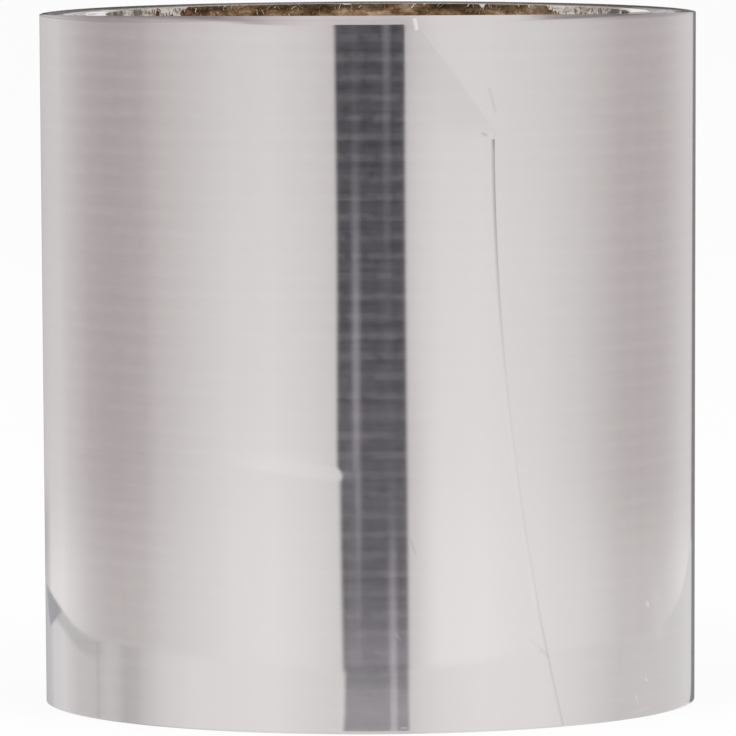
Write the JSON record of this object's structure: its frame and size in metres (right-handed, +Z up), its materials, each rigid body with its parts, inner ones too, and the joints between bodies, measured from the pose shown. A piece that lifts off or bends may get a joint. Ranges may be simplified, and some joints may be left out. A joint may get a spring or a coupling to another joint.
{
  "type": "cake collar roll",
  "caption": "Roll of clear film strip for lining cake sides, wound on a brown paperboard core and standing on end, its free end lying on the front with one corner snipped.",
  "frame": {"origin": "middle of the bottom end, on the core's axis", "axes": "+Z up along the core's axis, the free end of the film on the -Y side"},
  "size_m": [0.0954, 0.0955, 0.1013],
  "materials": {
    "paperboard": "matt kraft board with torn fibres at the cut ends",
    "clear_film": "clear polyester film, silvery where many turns lie on each other"
  },
  "bodies": {
    "root": {"core_tube": "paperboard", "film_winding": "clear_film"}
  },
  "joints": []
}
